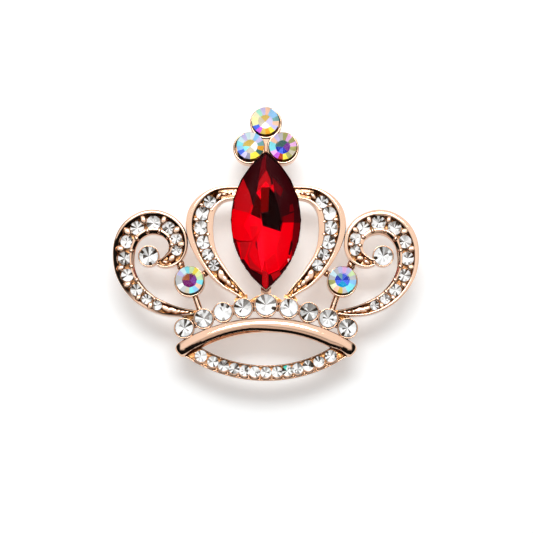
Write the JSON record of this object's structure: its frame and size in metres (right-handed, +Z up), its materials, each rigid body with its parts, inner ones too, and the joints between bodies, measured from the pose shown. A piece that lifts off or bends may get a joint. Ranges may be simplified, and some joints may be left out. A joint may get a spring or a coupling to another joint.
{
  "type": "crown brooch",
  "caption": "Openwork crown brooch in rose-gold plated metal, set with clear, rainbow and red crystals, with a hinged pin and turning catch behind.",
  "frame": {"origin": "on the axis of the closed pin, halfway from its hinge to its catch", "axes": "+Z up to the crown's top, along the pin towards its hinge; the front faces -Y; +X to the right of somebody who looks at the front"},
  "size_m": [0.0432, 0.0112, 0.0388],
  "materials": {
    "rose_gold": "polished rose-gold plating",
    "steel": "drawn steel wire, bright",
    "crystal": "clear faceted glass with a silver foil back",
    "rainbow_crystal": "faceted glass with a rainbow coating and a foil back",
    "ruby": "deep red faceted glass with a foil back"
  },
  "bodies": {
    "crown": {"band_rail": "rose_gold", "arch_bar": "rose_gold", "gallery_cups": "rose_gold", "left_petal": "rose_gold", "right_petal": "rose_gold", "left_scroll": "rose_gold", "right_scroll": "rose_gold", "marquise_cup": "rose_gold", "finial_cups": "rose_gold", "left_side_cup": "rose_gold", "right_side_cup": "rose_gold", "hinge_bracket": "rose_gold", "catch_housing": "rose_gold", "hinge_rivet": "steel", "band_stones": "crystal", "left_petal_stones": "crystal", "right_petal_stones": "crystal", "gallery_stone_1": "crystal", "gallery_stone_2": "crystal", "gallery_stone_3": "crystal", "gallery_stone_4": "crystal", "gallery_stone_5": "crystal", "gallery_stone_6": "crystal", "gallery_stone_7": "crystal", "gallery_stone_8": "crystal", "gallery_stone_9": "crystal", "left_scroll_stone_01": "crystal", "left_scroll_stone_02": "crystal", "left_scroll_stone_03": "crystal", "left_scroll_stone_04": "crystal", "left_scroll_stone_05": "crystal", "left_scroll_stone_06": "crystal", "left_scroll_stone_07": "crystal", "left_scroll_stone_08": "crystal", "left_scroll_stone_09": "crystal", "left_scroll_stone_10": "crystal", "left_scroll_stone_11": "crystal", "right_scroll_stone_01": "crystal", "right_scroll_stone_02": "crystal", "right_scroll_stone_03": "crystal", "right_scroll_stone_04": "crystal", "right_scroll_stone_05": "crystal", "right_scroll_stone_06": "crystal", "right_scroll_stone_07": "crystal", "right_scroll_stone_08": "crystal", "right_scroll_stone_09": "crystal", "right_scroll_stone_10": "crystal", "right_scroll_stone_11": "crystal", "left_scroll_end_stone": "crystal", "right_scroll_end_stone": "crystal", "finial_stone_top": "rainbow_crystal", "finial_stone_left": "rainbow_crystal", "finial_stone_right": "rainbow_crystal", "left_side_stone": "rainbow_crystal", "right_side_stone": "rainbow_crystal", "marquise_stone": "ruby"},
    "pin": {"pin_stem": "steel"},
    "catch": {"catch_rotor": "rose_gold"}
  },
  "joints": [
    {"name": "pin_hinge", "type": "hinge", "parent": "crown", "child": "pin", "pos_m": [0, 0, 0.0086], "axis": [1, 0, 0], "range_deg": [0, 95]},
    {"name": "catch_turn", "type": "hinge", "parent": "crown", "child": "catch", "pos_m": [0, 0, -0.0085], "axis": [0, 0, -1], "range_deg": [0, 100]}
  ]
}
